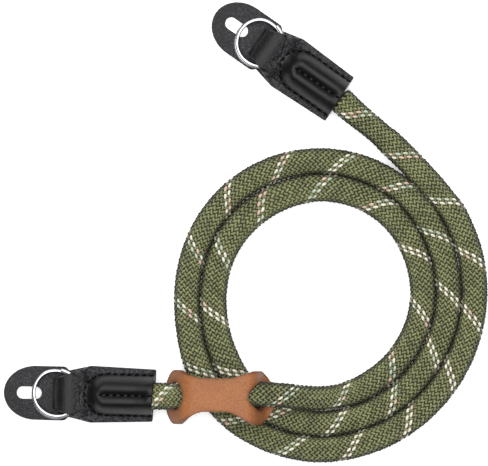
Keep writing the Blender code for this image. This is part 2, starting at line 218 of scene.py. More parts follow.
# Camera
# Straight above, a long way off, framed as the photograph: 488 x 466 pixels, 0.415 mm each
view = {"centre": (26.9 * mm, -8.5 * mm), "width": 202.5 * mm, "sharpAt": 6 * mm, "height": 3.0}
cameraData = bpy.data.cameras.new("camera")
cameraData.sensor_width = 36
cameraData.lens = 36 * (view["height"] - view["sharpAt"]) / view["width"]
cameraData.clip_end = 20
camera = linkObject("camera", cameraData)
camera.location = (*view["centre"], view["height"])
bpy.context.scene.camera = camera

# Rope and its route
rope = {
    "radius": 5.2 * mm,
    "coreRadius": 4.62 * mm,
    "coilCentre": Vector((57.8, -33.8, 0)) * mm,
    "innerRadius": 43.1 * mm,
    "pitch": 10.7 * mm,
    "spacing": 8 * mm,
    "inset": 1.5 * mm,
    # the coil's part of the route: degrees wound at its start and end, and the step between points;
    # it keeps within this reach of the coil's centre and below this height
    "coiled": (30, 840, 15),
    "coilReach": 70 * mm,
    "coilTop": 6 * mm,
    # degrees wound anticlockwise from the bottom of the coil, and pitches out from the inner turn
    "steps": (
        (0, 0.00), (60, -0.02), (90, 0.03), (110, 0.04), (135, 0.12), (180, 0.10), (200, 0.04),
        (250, 0.02), (270, 0.05), (290, 0.18), (310, 0.46), (325, 0.72), (340, 0.88),
        (350, 0.955), (360, 1.00), (420, 0.98), (450, 1.03), (470, 1.04), (495, 1.13),
        (540, 1.13), (585, 1.09), (610, 1.05), (630, 1.07), (650, 1.22), (664, 1.46),
        (676, 1.67), (690, 1.83), (700, 1.90), (710, 1.96), (720, 2.00), (780, 1.98), (840, 2.08),
    ),
    # the soft rope is a little flattened where it lies: degrees wound, and width to its usual width
    "flattened": (
        (30, 1.07), (110, 1.07), (135, 1.12), (180, 1.17), (200, 1.22), (225, 1.22), (250, 1.15),
        (270, 1.11), (290, 1.13), (310, 1.19), (328, 1.12), (345, 1.08), (480, 1.08), (640, 1.08),
        (665, 1.17), (688, 1.12), (705, 1.08), (780, 1.09), (840, 1.08),
    ),
    "mouthWidth": 11.7 * mm,
    "mouthHeight": 8.9 * mm,
    "mouthDrop": 0.8 * mm,
    "mouthEase": (1 * mm, 16 * mm),
    "overTurns": (
        (-4.7, -76.2, 12.2), (0.3, -76.0, 13.1), (4.5, -75.8, 14.5), (8.6, -75.6, 15.7),
        (12.8, -75.4, 16.4), (20.2, -75.2, 16.8), (27.3, -75.1, 17.35), (34.4, -75.1, 18.05),
        (39.8, -75.3, 18.05), (46, -75.9, 16.5), (53, -76.7, 13.4), (60.1, -77.0, 9.8),
        (67.1, -76.0, 6.7), (73.8, -73.9, 5.3),
    ),
    "leaving": (
        (106.1, 9.6, 5.2), (97.4, 19.2, 5.2), (89.2, 27.4, 5.5), (80.8, 34.9, 6.2), (73, 41.2, 6.9),
    ),
}

# Both ends are alike: local x runs from the tab's tip to the mouth that the rope comes out of
strapEnd = {
    "length": 62.8, "mouthWidth": 21.7, "sleeveWidth": 23.6, "sleeveStart": 36.2,
    "tabThickness": 1.8, "tabWidth": 22.4, "tipLength": 13.2, "tabEdge": 0.28, "shoulderAt": 25.0,
    "waistAt": 27.2, "waistWidth": 19.4,
    "slotStart": 5.3, "slotLength": 10.5, "slotWidth": 5.1, "gap": 0.3,
    "left": (-10.17, -76.02, -1.3, 4.0), "right": (66.64, 47.08, -35.0, 0.0),
    "mouthSlant": {"left": 0.056, "right": -0.025}, "slantFrom": 42,
}


def endPlace(side):
    x, y, heading, rise = strapEnd[side]
    heading, rise = radians(heading), radians(rise)
    reach = strapEnd["length"] * cos(rise)
    tip = Vector((x - reach * cos(heading), y - reach * sin(heading), 0)) * mm
    turn = Matrix.Rotation(heading, 4, "Z") @ Matrix.Rotation(-rise, 4, "Y")
    return Matrix.Translation(tip) @ turn


def mouthPoint(side, inset):
    height = (strapEnd["tabThickness"] + strapEnd["gap"]) * mm + rope["radius"]
    return endPlace(side) @ Vector((strapEnd["length"] * mm - inset, 0, height))


def coilPoint(turned):
    radius = rope["innerRadius"] + rope["pitch"] * smoothValue(rope["steps"], turned)
    angle = radians(turned - 90)
    return rope["coilCentre"] + Vector((radius * cos(angle), radius * sin(angle), rope["radius"]))


def ropeRoute():
    over = [Vector(p) * mm for p in rope["overTurns"]]
    leaving = [Vector(p) * mm for p in rope["leaving"]]
    first, last, step = rope["coiled"]
    turns = [coilPoint(turned) for turned in range(first, last + 1, step)]
    start, stop = mouthPoint("left", 0), mouthPoint("right", 0)
    return [
        mouthPoint("left", rope["inset"]),
        *curveThrough([start, *over, turns[0]], rope["spacing"]), *turns[1:-1],
        *curveThrough([turns[-1], *leaving, stop], rope["spacing"]),
        mouthPoint("right", rope["inset"]),
    ]


def nearMouth(point):
    # 1 in the mouth of a sleeve and 0 where the rope is round again
    away = min((point - mouthPoint(side, 0)).length for side in ("left", "right"))
    return 1 - smoothStep(*rope["mouthEase"], away)


def ropeSquash():
    # width and height of the rope along its line, to its round section
    rows, wound, before = [], 0, None
    first, last = rope["coiled"][:2]
    full = 2 * rope["radius"]
    for point in ropeLine:
        out = point - rope["coilCentre"]
        angle = degrees(atan2(out.y, out.x)) + 90
        onCoil = out.xy.length < rope["coilReach"] and point.z < rope["coilTop"]
        if onCoil:
            if before is None:
                before = angle
            wound += (angle - before + 180) % 360 - 180 if wound else angle % 360
            before = angle
        width = smoothValue(rope["flattened"], max(first, min(last, wound))) if onCoil else 1.0
        near = nearMouth(point)
        rows.append((
            width + (rope["mouthWidth"] / full - width) * near,
            1 + (rope["mouthHeight"] / full - 1) * near, 0.0))
    return rows


ropeLine = curveThrough(ropeRoute(), 2 * mm)
squash = ropeSquash()
# flattened, the rope rests lower in the sleeve's mouth
ropeLine = [p - Vector((0, 0, rope["mouthDrop"] * nearMouth(p))) for p in ropeLine]
ropeLength = lengthsAlong(ropeLine)[-1]
print(f"rope route: {ropeLength:.3f} m")

# Materials
finish = {
    "oliveDeep": "#0c0d06", "oliveMid": "#44472a", "oliveLight": "#7d8055", "core": "#090a05",
    "coreLight": "#17180d", "sheen": "#d8d9b4", "white": "#ffffff",
    "cream": "#d6d1c0", "creamShade": "#6d6a5a", "rose": "#d9a39b", "teal": "#a3c7ba",
    "coverDeep": "#060607", "coverLeather": "#111112", "coverPale": "#3a3a3d",
    "tabDeep": "#0a0a0b", "tabLeather": "#232325", "tabPale": "#4a4a4d", "thread": "#060607",
    "tanLeather": "#935c36", "tanPale": "#a5714a", "tanDeep": "#744220", "wax": "#452409",
    "steel": "#b0b1b4",
}


def makeBraidMaterial(name, tracer):
    # Polyester multifilament, braided: each float is a soft bundle of fine parallel filaments, streaked
    # lengthwise; a painted highlight runs along its crown and painted shade falls where it dips under the next
    material, add, shader = newMaterial(name)
    uv = add("ShaderNodeUVMap", uv_map="UVMap")
    place = add("ShaderNodeTexCoord").outputs["Object"]
    tone = add("ShaderNodeAttribute", attribute_name="tone").outputs["Fac"]
    worn = add("ShaderNodeAttribute", attribute_name="worn").outputs["Fac"]
    # filaments are 0.03 mm on the real rope; they are drawn 0.08 mm wide, so that they show
    drawn = add("ShaderNodeMapping", {"Vector": uv, "Scale": (1.5, 16, 1)})
    streaks = add("ShaderNodeTexNoise", {"Vector": drawn, "Scale": 1.0, "Detail": 2.0})
    grain = add("ShaderNodeTexNoise", {"Vector": place, "Scale": 900.0, "Detail": 2.0})
    parts = add("ShaderNodeSeparateXYZ", (uv,))
    # painted highlight: each float is drawn brightest in its middle, with painted shade at its ends and its sides
    shares = []
    for axis, full in (("X", 0.26), ("Y", 0.2)):
        share = add("ShaderNodeMath", (parts.outputs[axis],), operation="FRACT")
        share = add("ShaderNodeMath", (share, 0.5), operation="SUBTRACT")
        share = add("ShaderNodeMath", (share,), operation="ABSOLUTE")
        shares.append(add("ShaderNodeMapRange", {
            "Value": share, "From Min": 0.5, "From Max": full, "To Min": 0.0, "To Max": 1.0}))
    paintedCrownLight = add("ShaderNodeMath", shares, operation="MULTIPLY")
    # painted light: the crown highlight, then floats facing up drawn paler and those on the rope's sides darker,
    # as light from overhead falls; then the random tone and the streaks
    mixed = -0.88
    for part, weight in ((paintedCrownLight, 0.75), (worn, 0.66), (tone, 0.25), (streaks, 0.35)):
        mixed = add("ShaderNodeMath", (part, weight, mixed), operation="MULTIPLY_ADD")
    colour = ramp = add("ShaderNodeValToRGB", (mixed,))
    if tracer:
        setRamp(ramp, ((0.0, "creamShade"), (0.5, "cream")))
        accent = add("ShaderNodeAttribute", attribute_name="accent").outputs["Fac"]
        hue = add("ShaderNodeValToRGB", (accent,))
        hue.color_ramp.interpolation = "CONSTANT"
        setRamp(hue, ((0.0, "white"), (0.72, "rose"), (0.87, "teal")))
        colour = add("ShaderNodeMix", {"Factor": 0.6, 6: ramp, 7: hue},
                     data_type="RGBA", blend_type="MULTIPLY").outputs[2]
    else:
        setRamp(ramp, ((0.0, "oliveDeep"), (0.45, "oliveMid"), (0.9, "oliveLight")))
    height = add("ShaderNodeMath", (grain, 0.4, streaks), operation="MULTIPLY_ADD")
    bump = add("ShaderNodeBump", {"Height": height, "Strength": 0.5, "Distance": 0.05 * mm})
    feed(shader, {
        "Base Color": colour, "Normal": bump, "Roughness": 0.62, "Sheen Weight": 0.05,
        "Sheen Roughness": 0.4, "Sheen Tint": linearColour(finish["sheen"])})
    return material


def makeCoreMaterial():
    # The inside of the braid and the twisted core, coloured near black: painted shade between the floats
    material, add, shader = newMaterial("ropeCoreYarn")
    place = add("ShaderNodeTexCoord").outputs["Object"]
    lumps = add("ShaderNodeTexNoise", {"Vector": place, "Scale": 700.0, "Detail": 3.0})
    ramp = add("ShaderNodeValToRGB", (lumps,))
    setRamp(ramp, ((0.35, "core"), (0.7, "coreLight")))
    bump = add("ShaderNodeBump", {"Height": lumps, "Strength": 0.5, "Distance": 0.1 * mm})
    feed(shader, {"Base Color": ramp, "Normal": bump, "Roughness": 0.8})
    return material


def makeLeatherMaterial(name, settings):
    # Leather: pebbles between hair pores, finer creases in between, and an uneven colour and gloss
    material, add, shader = newMaterial(name)
    place = add("ShaderNodeTexCoord").outputs["Object"]
    # the pebble is 0.35 mm on the real hide; it is drawn at the size in the settings
    size = settings["pebble"] * mm
    warp = add("ShaderNodeTexNoise", {"Vector": place, "Scale": 260.0, "Detail": 2.0})
    bent = add("ShaderNodeVectorMath", (warp.outputs["Color"], (0.5,) * 3), operation="SUBTRACT")
    bent = add("ShaderNodeVectorMath", (bent, (1.2 * mm,) * 3, place), operation="MULTIPLY_ADD")
    pebble = add("ShaderNodeTexVoronoi", {"Vector": bent, "Scale": 1 / size}, feature="SMOOTH_F1")
    creases = add("ShaderNodeTexNoise", {
        "Vector": place, "Scale": 0.8 / size, "Detail": 4.0, "Roughness": 0.6})
    clouds = add("ShaderNodeTexNoise", {"Vector": place, "Scale": 95.0, "Detail": 3.0})
    height = add("ShaderNodeMath", (creases, 0.8, pebble), operation="MULTIPLY_ADD")
    # drawn smooth where the leather is stretched over the rope, and left grained on the margins
    loose = 1.0
    if settings.get("mask"):
        loose = add("ShaderNodeAttribute", attribute_name="looseness").outputs["Fac"]
    strength = add("ShaderNodeMath", (loose, settings["relief"], 0.04), operation="MULTIPLY_ADD")
    bump = add("ShaderNodeBump", {
        "Height": height, "Strength": strength, "Distance": settings["depth"] * mm})
    # the colour follows the bump's crease noise: paler where it lifts the surface and darker in its creases
    spread = add("ShaderNodeMath", (loose, settings["contrast"], 0.3), operation="MULTIPLY_ADD")
    centred = add("ShaderNodeMath", (creases, 0.5), operation="SUBTRACT")
    cloudy = add("ShaderNodeMath", (clouds, 0.4, 0.2), operation="MULTIPLY_ADD")
    cloudy = add("ShaderNodeMath", (loose, settings["fade"], cloudy), operation="MULTIPLY_ADD")
    shade = add("ShaderNodeMath", (centred, spread, cloudy), operation="MULTIPLY_ADD")
    colour = ramp = add("ShaderNodeValToRGB", (shade,))
    setRamp(ramp, settings["colours"])
    if settings.get("rim"):
        # the cut edges are rubbed down with wax, which turns them darker
        rim = add("ShaderNodeAttribute", attribute_name="rim").outputs["Fac"]
        waxed = add("ShaderNodeMath", (rim, 0.75), operation="MULTIPLY")
        colour = add("ShaderNodeMix", {
            "Factor": waxed, 6: ramp, 7: linearColour(finish["wax"])}, data_type="RGBA").outputs[2]
    gloss = add("ShaderNodeMapRange", {
        "Value": clouds, "From Min": 0.3, "From Max": 0.7,
        "To Min": settings["rough"] - 0.06, "To Max": settings["rough"] + 0.06})
    feed(shader, {"Base Color": colour, "Normal": bump, "Roughness": gloss, "IOR": settings["ior"]})
    return material


def makeThreadMaterial():
    # Bonded nylon sewing thread: black, slightly waxy, its twist too fine to see
    material, add, shader = newMaterial("bondedNylonThread")
    place = add("ShaderNodeTexCoord").outputs["Object"]
    twist = add("ShaderNodeTexNoise", {"Vector": place, "Scale": 3500.0})
    bump = add("ShaderNodeBump", {"Height": twist, "Strength": 0.4, "Distance": 0.05 * mm})
    feed(shader, {
        "Base Color": linearColour(finish["thread"]), "Normal": bump, "Roughness": 0.8,
        "Specular IOR Level": 0.05})
    return material


def makeSteelMaterial():
    # Spring steel wire, nickel plated and tumbled: mirror bright with faint rubbed marks
    material, add, shader = newMaterial("nickelPlatedSteel")
    place = add("ShaderNodeTexCoord").outputs["Object"]
    rubs = add("ShaderNodeTexNoise", {"Vector": place, "Scale": 1400.0, "Detail": 3.0})
    gloss = add("ShaderNodeMapRange", {"Value": rubs, "To Min": 0.1, "To Max": 0.24})
    feed(shader, {"Base Color": linearColour(finish["steel"]), "Metallic": 1.0, "Roughness": gloss})
    return material


oliveBraid = makeBraidMaterial("braidedPolyesterOlive", False)
tracerBraid = makeBraidMaterial("braidedPolyesterTracer", True)
coreYarn = makeCoreMaterial()
coverLeather = makeLeatherMaterial("topGrainCowhideBlack", {
    "pebble": 0.65, "relief": 1.0, "depth": 0.4, "rough": 0.4, "mask": True, "ior": 1.3,
    "contrast": 2.3, "fade": 0.24,
    "colours": ((0.1, "coverDeep"), (0.5, "coverLeather"), (0.9, "coverPale"))})
tabLeather = makeLeatherMaterial("pressedCowhideBlack", {
    "pebble": 0.6, "relief": 0.8, "depth": 0.2, "rough": 0.6, "ior": 1.3,
    "contrast": 0.9, "fade": 0.1,
    "colours": ((0.1, "tabDeep"), (0.5, "tabLeather"), (0.9, "tabPale"))})
keeperLeather = makeLeatherMaterial("vegetableTannedCowhide", {
    "pebble": 0.6, "relief": 0.16, "depth": 0.1, "rough": 0.5, "ior": 1.32, "rim": True,
    "contrast": 0.5, "fade": 0.1,
    "colours": ((0.2, "tanDeep"), (0.5, "tanLeather"), (0.8, "tanPale"))})
sewingThread = makeThreadMaterial()
ringSteel = makeSteelMaterial()
print("materials done")

# Rope: core and braid
# 24 carriers, 12 each way, each over one and under one. A float leans less than its strand does,
# because it is pulled straight between the two places where it dips
braid = {
    "lead": 25.6 * mm, "columns": 12, "floatLength": 2.9 * mm, "yarnWidth": 1.25 * mm,
    "yarnHeight": 0.68 * mm, "lean": 37, "tracerPhase": 0, "pieces": 4, "seed": 7, "coreGive": 1.25,
}

coreData = bpy.data.curves.new("ropeCore", "CURVE")
coreData.dimensions = "3D"
coreData.bevel_depth = rope["coreRadius"]
coreData.bevel_resolution = 5
coreData.use_fill_caps = True
coreData.render_resolution_u = 0
coreSpline = coreData.splines.new("POLY")
coreSpline.points.add(len(ropeLine) - 1)
for knot, point, pressed in zip(coreSpline.points, ropeLine, squash):
    knot.co = (*point, 1.0)
    knot.radius = 1 - braid["coreGive"] * (1 - pressed[1])
coreData.materials.append(coreYarn)
ropeCore = linkObject("ropeCore", coreData)


def makeFloatShape():
    # a plump bundle of filaments, its ends turned down to pass under the next carrier
    bm = bmesh.new()
    uvLayer = bm.loops.layers.uv.new("UVMap")
    stations = ((0.0, -0.45), (0.16, 0.32), (0.34, 0.86), (0.5, 1.0), (0.66, 0.86), (0.84, 0.32),
                (1.0, -0.45))
    section = ((-0.5, -0.35), (-0.34, 0.62), (0.0, 1.0), (0.34, 0.62), (0.5, -0.35))
    rows = []
    for share, lift in stations:
        slim = 0.72 + 0.28 * min(1, lift + 0.45)
        rows.append([bm.verts.new((
            (share - 0.5) * braid["floatLength"], y * slim * braid["yarnWidth"],
            (lift + z - 1) * braid["yarnHeight"])) for y, z in section])
    for i in range(len(stations) - 1):
        for j in range(len(section) - 1):
            corners = ((i, j), (i + 1, j), (i + 1, j + 1), (i, j + 1))
            face = bm.faces.new([rows[a][b] for a, b in corners])
            for loop, (a, b) in zip(face.loops, corners):
                loop[uvLayer].uv = (stations[a][0], section[b][0] + 0.5)
            face.smooth = True
    mesh = bpy.data.meshes.new("floatShape")
    bm.to_mesh(mesh)
    bm.free()
    return linkObject("floatShape", mesh)


def buildBraidTree():
    tree, add, given, result = newTree("braidSleeve", (
        ("Row Spacing", "Float"), ("Columns", "Int"), ("Rows", "Int"), ("First Row", "Int"),
        ("Row Shift", "Float"), ("Side", "Float"), ("Float Angle", "Float"), ("Radius", "Float"),
        ("Tracer", "Bool"), ("Both Alike", "Bool"), ("Tracer Strand", "Float"), ("Seed", "Int"),
        ("Float Shape", "Object"), ("Material", "Material")))
    # a float's row and column in the lattice of its hand, and from them its place on the line
    count = add("ShaderNodeMath", (given["Rows"], given["Columns"]), operation="MULTIPLY")
    index = add("GeometryNodeInputIndex")
    ahead = add("ShaderNodeMath", (index, 0.5), operation="ADD")
    ahead = add("ShaderNodeMath", (ahead, given["Columns"]), operation="DIVIDE")
    turnIndex = add("ShaderNodeMath", (ahead,), operation="FLOOR")
    passed = add("ShaderNodeMath", (turnIndex, given["Columns"]), operation="MULTIPLY")
    column = add("ShaderNodeMath", (index, passed), operation="SUBTRACT")
    row = add("ShaderNodeMath", (turnIndex, given["First Row"]), operation="ADD")
    shifted = add("ShaderNodeMath", (row, given["Row Shift"]), operation="ADD")
    length = add("ShaderNodeMath", (shifted, given["Row Spacing"]), operation="MULTIPLY")
    step = add("ShaderNodeMath", (-2 * pi, given["Columns"]), operation="DIVIDE")
    shifted = add("ShaderNodeMath", (column, given["Row Shift"]), operation="ADD")
    angle = add("ShaderNodeMath", (shifted, step), operation="MULTIPLY")
    # the rope's own frame there: x to the side, y up, z along, and its section pressed flatter
    curve = add("GeometryNodeMeshToCurve", (given["Geometry"],))
    curve = add("GeometryNodeSetCurveNormal", (curve,), mode="Z_UP")
    pressed = add("GeometryNodeInputNamedAttribute", ("squash",), data_type="FLOAT_VECTOR")
    sample = add("GeometryNodeSampleCurve", {
        "Curves": curve, "Value": pressed, "Length": length},
        data_type="FLOAT_VECTOR", mode="LENGTH", use_all_curves=True)
    tangent = sample.outputs["Tangent"]
    frameTurn = add("FunctionNodeAxesToRotation", (tangent, sample.outputs["Normal"]),
                    primary_axis="Z", secondary_axis="X")
    sides = []
    for axis in ((1, 0, 0), (0, 1, 0)):
        turned = add("ShaderNodeVectorRotate", {
            "Vector": axis, "Axis": (0, 0, 1), "Angle": angle}, rotation_type="AXIS_ANGLE")
        turned = add("ShaderNodeVectorMath", (turned, sample.outputs["Value"]), operation="MULTIPLY")
        sides.append(add("FunctionNodeRotateVector", (turned, frameTurn)))
    out = add("ShaderNodeVectorMath", {0: sides[0], "Scale": given["Radius"]}, operation="SCALE")
    spot = add("ShaderNodeVectorMath", (sample.outputs["Position"], out), operation="ADD")
    around = add("ShaderNodeVectorMath", (sides[1],), operation="NORMALIZE")
    stretch = add("ShaderNodeVectorMath", (sides[1],), operation="LENGTH").outputs["Value"]
    outward = add("ShaderNodeVectorMath", (around, tangent), operation="CROSS_PRODUCT")
    slope = add("ShaderNodeMath", (given["Float Angle"],), operation="SINE")
    slope = add("ShaderNodeMath", (slope, given["Side"]), operation="MULTIPLY")
    ahead = add("ShaderNodeMath", (given["Float Angle"],), operation="COSINE")
    sideways = add("ShaderNodeVectorMath", {0: around, "Scale": slope}, operation="SCALE")
    forwards = add("ShaderNodeVectorMath", {0: tangent, "Scale": ahead}, operation="SCALE")
    lay = add("ShaderNodeVectorMath", (sideways, forwards), operation="ADD")
    tone = add("FunctionNodeRandomValue", {"ID": index, "Seed": given["Seed"]})
    # painted light from overhead: 1 on floats that face up and 0 on the rope's sides, which the braid material
    # draws darker
    upright = add("ShaderNodeSeparateXYZ", {"Vector": outward})
    worn = add("ShaderNodeMapRange", {
        "Value": upright.outputs["Z"], "From Min": 0.12, "From Max": 0.8}, interpolation_type="SMOOTHSTEP")
    # one accent colour for each pass of the tracer round the rope, kept by most of its floats
    strand = add("ShaderNodeMath", (row, column), operation="SUBTRACT")
    passNumber = add("ShaderNodeMath", (strand, given["Columns"]), operation="DIVIDE")
    passNumber = add("ShaderNodeMath", (passNumber,), operation="FLOOR")
    hue = add("FunctionNodeRandomValue", {"ID": passNumber, "Seed": 3})
    wobble = add("FunctionNodeRandomValue", {"ID": index, "Seed": 11, 2: -0.4, 3: 0.4})
    hue = add("ShaderNodeMath", (hue.outputs[1], wobble.outputs[1]), operation="ADD")
    points = add("GeometryNodePoints", (count, spot))
    for label, value in (("tone", tone.outputs[1]), ("worn", worn), ("accent", hue)):
        points = add("GeometryNodeStoreNamedAttribute", {
            "Geometry": points, "Name": label, "Value": value})
    # two strands side by side are the tracer's
    strand = add("ShaderNodeMath", (0, strand), operation="SUBTRACT")
    strand = add("ShaderNodeMath", (strand, given["Tracer Strand"]), operation="SUBTRACT")
    strand = add("ShaderNodeMath", (strand, given["Columns"]), operation="FLOORED_MODULO")
    isTracer = add("ShaderNodeMath", (strand, 1.5), operation="LESS_THAN")
    wanted = add("ShaderNodeMath", (isTracer, given["Tracer"], 0.5), operation="COMPARE")
    chosen = add("ShaderNodeMath", (wanted, given["Both Alike"]), operation="MAXIMUM")
    turn = add("FunctionNodeAxesToRotation", (outward, lay), primary_axis="Z", secondary_axis="X")
    swell = add("FunctionNodeRandomValue", {
        "ID": index, "Seed": 5, 0: (0.96, 0.92, 0.86), 1: (1.08, 1.02, 1.12)},
        data_type="FLOAT_VECTOR")
    widen = add("ShaderNodeCombineXYZ", (1.0, stretch, 1.0))
    swell = add("ShaderNodeVectorMath", (swell, widen), operation="MULTIPLY")
    shape = add("GeometryNodeObjectInfo", {"Object": given["Float Shape"]})
    floats = add("GeometryNodeInstanceOnPoints", {
        "Points": points, "Selection": chosen, "Instance": shape.outputs["Geometry"],
        "Rotation": turn, "Scale": swell})
    solid = add("GeometryNodeRealizeInstances", (floats,))
    dyed = add("GeometryNodeSetMaterial", {"Geometry": solid, "Material": given["Material"]})
    feed(result, (dyed,))
    return tree


floatShape = makeFloatShape()
braidTree = buildBraidTree()
rowSpacing = braid["lead"] / braid["columns"]
rowCount = int(ropeLength / rowSpacing)
floatAngle = radians(braid["lean"])
for hand, side, shift in (("Z", 1.0, 0.0), ("S", -1.0, 0.5)):
    for part in range(braid["pieces"]):
        first = rowCount * part // braid["pieces"]
        last = rowCount * (part + 1) // braid["pieces"]
        jobs = [("olive", oliveBraid)]
        if hand == "S" and part == 0:
            jobs.append(("tracer", tracerBraid))
        for colour, material in jobs:
            tracer = colour == "tracer"
            piece = growOn(f"{colour}Floats{hand}{part}", ropeLine, braidTree, {
                "Row Spacing": rowSpacing, "Columns": braid["columns"],
                "Rows": rowCount if tracer else last - first, "First Row": 0 if tracer else first,
                "Row Shift": shift, "Side": side, "Float Angle": floatAngle,
                "Radius": rope["radius"] - braid["yarnHeight"], "Tracer": tracer,
                "Both Alike": hand == "Z", "Tracer Strand": float(braid["tracerPhase"]),
                "Seed": braid["seed"] + part, "Float Shape": floatShape, "Material": material}, squash)
            finished(piece, "rope")
bpy.data.objects.remove(floatShape, do_unlink=True)
finished(ropeCore, "rope", "rope")
tuple(ropeLine[0])

# Leather ends
cover = {
    "thickness": 1.4, "foldAt": 20.8, "foldWidth": 12.7, "tailEnd": 33.4, "loopHeight": 3.18,
    "humpAt": 27.4, "humpRise": 1.5, "crestDip": 1.8, "crestRun": 5.0, "descent": 6.5, "foldLow": 1.0,
    # the arc of the ring under the fold: its centre, its radius and how far to the side it counts
    "arc": (22.0, 10.4, 9.4),
    "noseStart": 33.6, "noseDepth": 5.0, "noseRise": 8.0, "noseEase": 1.35, "foot": 8.3,
    "fullness": 2.8, "halfWidth": 6.15, "height": 7.8, "mouthRise": 0.8, "valleyDepth": 2.0,
    "valleyHalfWidth": 1.7, "valleyReach": 5, "valleyStart": 38.6, "valleyRun": 4,
    # how much shallower the valley gets, and between which distances from the mouth
    "valleyFade": (0.6, 4, 1.5), "neckGrain": (28.5, 31.5),
    "seamAt": 8.4, "edgeRound": 0.35,
}


def slanted(side, bm):
    # the mouth isn't quite square to the sleeve
    for vertex in bm.verts:
        x, y, z = vertex.co
        vertex.co.x += strapEnd["mouthSlant"][side] * y * smoothStep(strapEnd["slantFrom"], strapEnd["length"], x)


def makeTab(side):
    # back leather: one flat tongue with a long slot, its edges rounded over and burnished
    e = strapEnd
    r = e["tabWidth"] / 2
    tip = e["tipLength"]
    half = [(tip - tip * cos(radians(a)), r * sin(radians(a))) for a in range(1, 90, 3)]
    shoulder, waist, sleeve = e["shoulderAt"], e["waistAt"], e["sleeveStart"]
    half += [(x, r) for x in (14, 18, 22, shoulder - 0.9)]
    corner = [Vector(p) for p in (
        (shoulder - 0.9, r), (shoulder, r - 0.05), (shoulder + 0.75, r - 0.35),
        (waist - 0.25, e["waistWidth"] / 2 + 0.12), (waist + 0.5, e["waistWidth"] / 2 + 0.1),
        (sleeve - 1.2, e["sleeveWidth"] / 2 - 0.28), (sleeve + 0.4, e["sleeveWidth"] / 2 - 0.02))]
    half += [tuple(p) for p in curveThrough(corner, 0.35)[1:]]
    half += [(e["length"] - 0.5, e["mouthWidth"] / 2), (e["length"], e["mouthWidth"] / 2 - 0.5)]
    outline = half + [(x, -y) for x, y in reversed(half)]
    slotHalf, slot = e["slotWidth"] / 2, []
    slotEnd = e["slotStart"] + e["slotLength"]
    for centre, first in ((slotEnd - slotHalf, -90), (e["slotStart"] + slotHalf, 90)):
        for k in range(25):
            a = radians(first + 180 * k / 24)
            slot.append((centre + slotHalf * cos(a), slotHalf * sin(a)))
    data = bpy.data.curves.new("tab", "CURVE")
    data.dimensions = "2D"
    data.fill_mode = "BOTH"
    data.extrude = e["tabThickness"] / 2 - e["tabEdge"]
    data.bevel_depth = e["tabEdge"]
    data.bevel_resolution = 2
    data.offset = -e["tabEdge"]
    for points in (outline, slot):
        spline = data.splines.new("POLY")
        spline.points.add(len(points) - 1)
        spline.use_cyclic_u = True
        for knot, (x, y) in zip(spline.points, points):
            knot.co = (x, y, 0, 1)
    bm = bmesh.new()
    bm.from_mesh(evaluated(linkObject("tabFlat", data)))
    bmesh.ops.remove_doubles(bm, verts=bm.verts[:], dist=0.001)
    slanted(side, bm)
    lift = Matrix.Translation((0, 0, e["tabThickness"] / 2))
    return meshPiece(side + "Tab", bm, tabLeather, endPlace(side) @ Matrix.Scale(mm, 4) @ lift, 35)


def sectionAt(x):
    # half width and height of the flattened rope inside the sleeve, fuller at the mouth
    e, c = strapEnd, cover
    return c["halfWidth"], c["height"] + c["mouthRise"] * smoothStep(e["length"] - 9, e["length"] - 1, x)


def edgeAt(x):
    # half width of the front leather: a neck that flares to the sleeve, and the sleeve to its mouth
    e, w = strapEnd, strapEnd["sleeveWidth"] / 2
    if x >= e["sleeveStart"] + 1:
        share = (x - e["sleeveStart"] - 1) / (e["length"] - e["sleeveStart"] - 1)
        return w + (e["mouthWidth"] / 2 - w) * share
    fold = cover["foldWidth"] / 2
    return smoothValue((
        (cover["foldAt"], fold), (24.0, fold + 0.75), (e["waistAt"], 0.71 * w), (31.5, 0.83 * w),
        (e["sleeveStart"] - 0.9, w - 0.22), (e["sleeveStart"] + 1, w)), x)


def noseShare(x, y):
    # 0 in front of the dome and 1 behind it; the dome's front is a half ellipse seen from above
    c = cover
    bow = sqrt(max(0.0, 1 - min(1.0, abs(y) / (c["foot"] + 0.05)) ** 2))
    u = max(0.0, min(1.0, (x - c["noseStart"] - c["noseDepth"] * (1 - bow)) / c["noseRise"]))
    return sin(pi / 2 * u) ** c["noseEase"]


def levelAt(x, y):
    # mid-surface height of the flat leather: draped over the arc of the ring that it holds, and
    # down from there to the margins, where it first lies on its own folded tail
    c = cover
    level = strapEnd["tabThickness"] + strapEnd["gap"] + c["thickness"] / 2
    foot = level + c["thickness"] * (1 - smoothStep(c["tailEnd"] - 1, c["tailEnd"] + 2.6, x))
    centre, radius, reach = c["arc"]
    arc = centre + sqrt(radius**2 - min(abs(y), reach) ** 2)
    fall = max(0, min(x, arc) - c["humpAt"]) / c["crestRun"]
    crest = level + c["loopHeight"] + c["thickness"] + c["humpRise"] - c["crestDip"] * fall**2
    return crest + (foot - crest) * smoothStep(arc, arc + c["descent"], x)


def coverSection(x):
    # half of the mid-surface across the sleeve at x, from its edge to the middle: y, height
    edge, foot, seamAt = edgeAt(x), cover["foot"], cover["seamAt"]
    top = sectionAt(x)[1] + strapEnd["gap"]
    half = [(edge, 0), (edge * 0.66 + seamAt * 0.34, 0), (edge * 0.33 + seamAt * 0.67, 0),
            (seamAt + 0.4, -0.04), (seamAt, -0.16)]
    for angle in range(5, 91, 5):
        y = foot * cos(radians(angle))
        half.append((y, top * (1 - (y / foot) ** cover["fullness"])))
    return half


def coverRow(x):
    c, half, length = cover, coverSection(x), strapEnd["length"]
    fade, fadeFrom, fadeTo = c["valleyFade"]
    valley = c["valleyDepth"] * smoothStep(c["valleyStart"], c["valleyStart"] + c["valleyRun"], x)
    valley *= 1 - fade * smoothStep(length - fadeFrom, length - fadeTo, x)
    line = []
    for y, z in [*half, *((-y, z) for y, z in reversed(half[:-1]))]:
        if z > 0:
            z *= noseShare(x, y)
        if abs(y) < c["valleyReach"]:
            z -= valley * exp(-((y / c["valleyHalfWidth"]) ** 2))
        line.append(Vector((x, y, levelAt(x, y) + z)))
    return line


